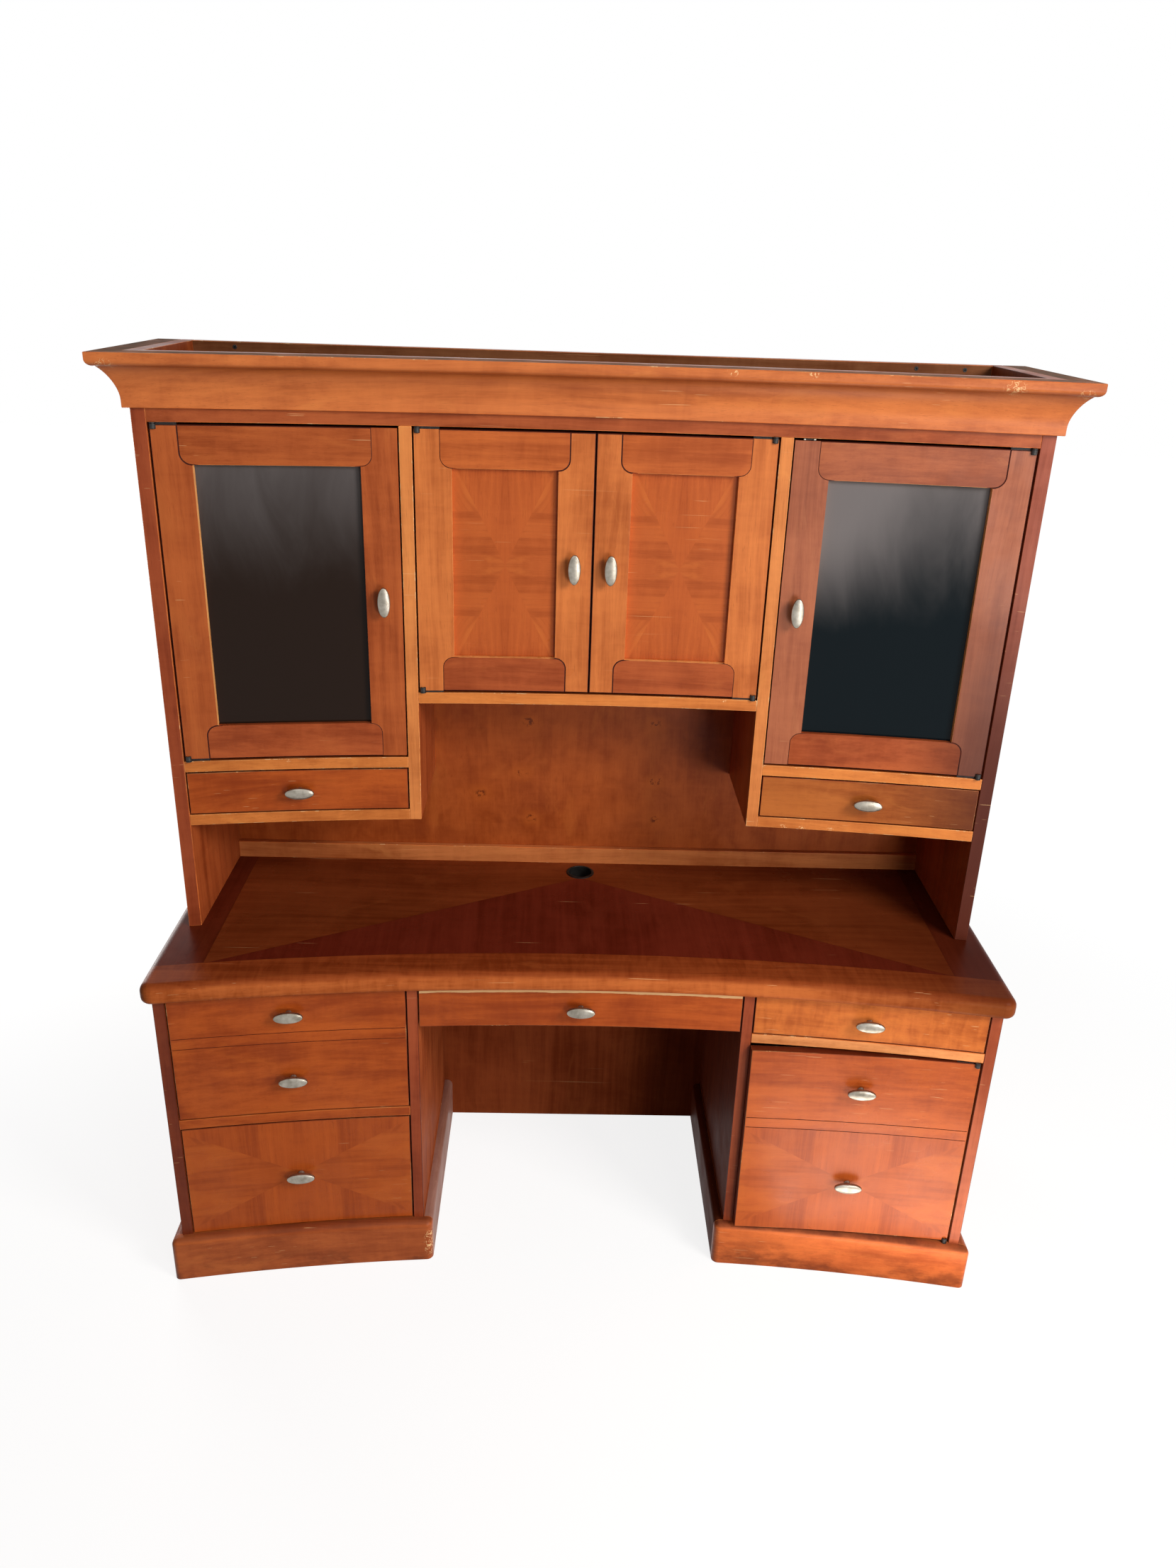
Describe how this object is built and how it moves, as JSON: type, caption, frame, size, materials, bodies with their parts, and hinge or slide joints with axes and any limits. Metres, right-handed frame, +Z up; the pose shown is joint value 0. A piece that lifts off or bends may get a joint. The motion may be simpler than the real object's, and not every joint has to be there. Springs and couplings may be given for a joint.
{
  "type": "office desk with hutch",
  "caption": "Executive desk with a concave curved front, drawers, a pedestal door and a kneehole, carrying a hutch with glazed and panelled doors under a crown moulding.",
  "frame": {"origin": "on the floor, at the middle of the desk's width and depth", "axes": "+X to the sitter's right, +Y to the back of the desk, +Z up"},
  "size_m": [1.805, 0.608, 1.9444],
  "materials": {
    "cherry_top": "satin stained cherry veneer",
    "cherry_front": "satin stained cherry",
    "cherry_trim": "satin stained cherry",
    "cherry_case": "satin stained cherry",
    "cherry_panel": "satin stained cherry veneer",
    "drawer_wood": "clear lacquer",
    "clear_glass": "polished",
    "nickel": "brushed nickel",
    "black_steel": "black",
    "black_plastic": "moulded"
  },
  "bodies": {
    "case": {"cable_grommet": "black_plastic", "centre_cabinet_floor": "cherry_case", "crown_front": "cherry_trim", "crown_returns": "cherry_trim", "desk_back": "cherry_panel", "desk_top": "cherry_top", "drawer_guides": "drawer_wood", "frieze_rail": "cherry_trim", "glass_cabinet_floors": "cherry_case", "hutch_back_panel": "cherry_panel", "hutch_back_rails": "cherry_trim", "hutch_dividers": "cherry_case", "hutch_drawer_floors": "cherry_case", "hutch_sides": "cherry_case", "hutch_top_panel": "cherry_panel", "left_pedestal_sides": "cherry_case", "left_plinth": "cherry_trim", "pedestal_bottoms": "cherry_panel", "pedestal_rails": "cherry_trim", "pivot_plates": "black_steel", "right_pedestal_sides": "cherry_case", "right_plinth": "cherry_trim"},
    "left_upper_drawer": {"left_upper_drawer_box": "drawer_wood", "left_upper_drawer_front": "cherry_front", "left_upper_drawer_knobs": "nickel"},
    "left_file_drawer": {"left_file_drawer_box": "drawer_wood", "left_file_drawer_front": "cherry_front", "left_file_drawer_knob": "nickel"},
    "right_top_drawer": {"right_top_drawer_box": "drawer_wood", "right_top_drawer_front": "cherry_front", "right_top_drawer_knob": "nickel"},
    "centre_drawer": {"centre_drawer_box": "drawer_wood", "centre_drawer_front": "cherry_front", "centre_drawer_knob": "nickel"},
    "left_hutch_drawer": {"left_hutch_drawer_box": "drawer_wood", "left_hutch_drawer_front": "cherry_front", "left_hutch_drawer_knob": "nickel"},
    "right_hutch_drawer": {"right_hutch_drawer_box": "drawer_wood", "right_hutch_drawer_front": "cherry_front", "right_hutch_drawer_knob": "nickel"},
    "left_glass_door": {"left_glass_door_frame": "cherry_front", "left_glass_door_knob": "nickel", "left_glass_door_pane": "clear_glass", "left_glass_door_pivots": "black_steel"},
    "right_glass_door": {"right_glass_door_frame": "cherry_front", "right_glass_door_knob": "nickel", "right_glass_door_pane": "clear_glass", "right_glass_door_pivots": "black_steel"},
    "left_centre_door": {"left_centre_door_frame": "cherry_front", "left_centre_door_knob": "nickel", "left_centre_door_panel": "cherry_front", "left_centre_door_pivots": "black_steel"},
    "right_centre_door": {"right_centre_door_frame": "cherry_front", "right_centre_door_knob": "nickel", "right_centre_door_panel": "cherry_front", "right_centre_door_pivots": "black_steel"},
    "pedestal_door": {"pedestal_door_knobs": "nickel", "pedestal_door_pivots": "black_steel", "pedestal_door_slab": "cherry_front"}
  },
  "joints": [
    {"name": "left_upper_drawer_slide", "type": "slide", "parent": "case", "child": "left_upper_drawer", "axis": [0, -1, 0], "range_m": [0, 0.36]},
    {"name": "left_file_drawer_slide", "type": "slide", "parent": "case", "child": "left_file_drawer", "axis": [0, -1, 0], "range_m": [0, 0.36]},
    {"name": "right_top_drawer_slide", "type": "slide", "parent": "case", "child": "right_top_drawer", "axis": [0, -1, 0], "range_m": [0, 0.36]},
    {"name": "centre_drawer_slide", "type": "slide", "parent": "case", "child": "centre_drawer", "axis": [0, -1, 0], "range_m": [0, 0.26]},
    {"name": "left_hutch_drawer_slide", "type": "slide", "parent": "case", "child": "left_hutch_drawer", "axis": [0, -1, 0], "range_m": [0, 0.17]},
    {"name": "right_hutch_drawer_slide", "type": "slide", "parent": "case", "child": "right_hutch_drawer", "axis": [0, -1, 0], "range_m": [0, 0.17]},
    {"name": "left_glass_door_hinge", "type": "hinge", "parent": "case", "child": "left_glass_door", "pos_m": [-0.8165, -0.04896, 1.1543], "axis": [0, 0, -1], "range_deg": [0, 95]},
    {"name": "right_glass_door_hinge", "type": "hinge", "parent": "case", "child": "right_glass_door", "pos_m": [0.8165, -0.04896, 1.1543], "axis": [0, 0, 1], "range_deg": [0, 95]},
    {"name": "left_centre_door_hinge", "type": "hinge", "parent": "case", "child": "left_centre_door", "pos_m": [-0.3398, 0.00507, 1.2975], "axis": [0, 0, -1], "range_deg": [0, 95]},
    {"name": "right_centre_door_hinge", "type": "hinge", "parent": "case", "child": "right_centre_door", "pos_m": [0.3398, 0.00507, 1.2975], "axis": [0, 0, 1], "range_deg": [0, 95]},
    {"name": "pedestal_door_hinge", "type": "hinge", "parent": "case", "child": "pedestal_door", "pos_m": [0.8359, -0.2736, 0.1132], "axis": [0, 0, 1], "range_deg": [-2.6, 92.4]}
  ]
}
